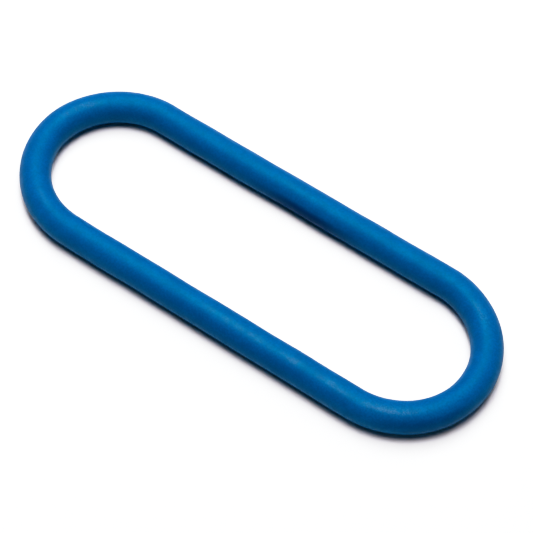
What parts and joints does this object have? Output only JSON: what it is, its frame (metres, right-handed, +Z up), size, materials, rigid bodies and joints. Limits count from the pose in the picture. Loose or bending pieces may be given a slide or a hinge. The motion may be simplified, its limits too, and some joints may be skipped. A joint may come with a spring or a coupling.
{
  "type": "juggling ring",
  "caption": "Oblong closed ring of round section with straight sides and semicircular ends, soft blue skin over a bent tube core, thrown, spun and held in the hand.",
  "frame": {"origin": "middle of the ring, on the surface that it lies on", "axes": "+X along the straight sides (length), +Y across the ring (width), +Z up through the opening"},
  "size_m": [0.335, 0.125, 0.02],
  "materials": {
    "blue_skin": "matte soft-touch, dipped",
    "tube_aluminium": "drawn, as bent",
    "spigot_aluminium": "turned",
    "spring_steel": "oiled, dark"
  },
  "bodies": {
    "root": {"jacket": "blue_skin", "bend_left": "tube_aluminium", "bend_right": "tube_aluminium", "spigot_front": "spigot_aluminium", "spigot_back": "spigot_aluminium", "pin_front_left": "spring_steel", "pin_front_right": "spring_steel", "pin_back_left": "spring_steel", "pin_back_right": "spring_steel"}
  },
  "joints": []
}
